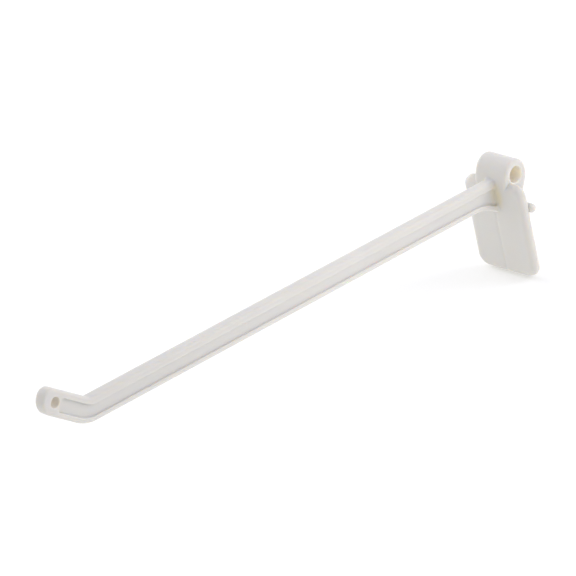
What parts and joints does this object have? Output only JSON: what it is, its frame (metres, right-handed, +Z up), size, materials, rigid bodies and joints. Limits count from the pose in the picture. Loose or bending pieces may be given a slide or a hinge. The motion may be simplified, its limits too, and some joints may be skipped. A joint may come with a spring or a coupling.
{
  "type": "pegboard hook",
  "caption": "Moulded plastic display hook: long I-section arm with an up-turned drilled tip, a rounded wall plate, and a cross eye behind the plate that hangs on a rod.",
  "frame": {"origin": "centre of the eye's bore, on its axis at mid width", "axes": "+X along the eye's bore, -Y forwards along the arm, +Z up along the plate"},
  "size_m": [0.0276, 0.2168, 0.0748],
  "materials": {
    "white_plastic": "satin, slightly translucent off-white moulded plastic"
  },
  "bodies": {
    "root": {"hook": "white_plastic"}
  },
  "joints": []
}
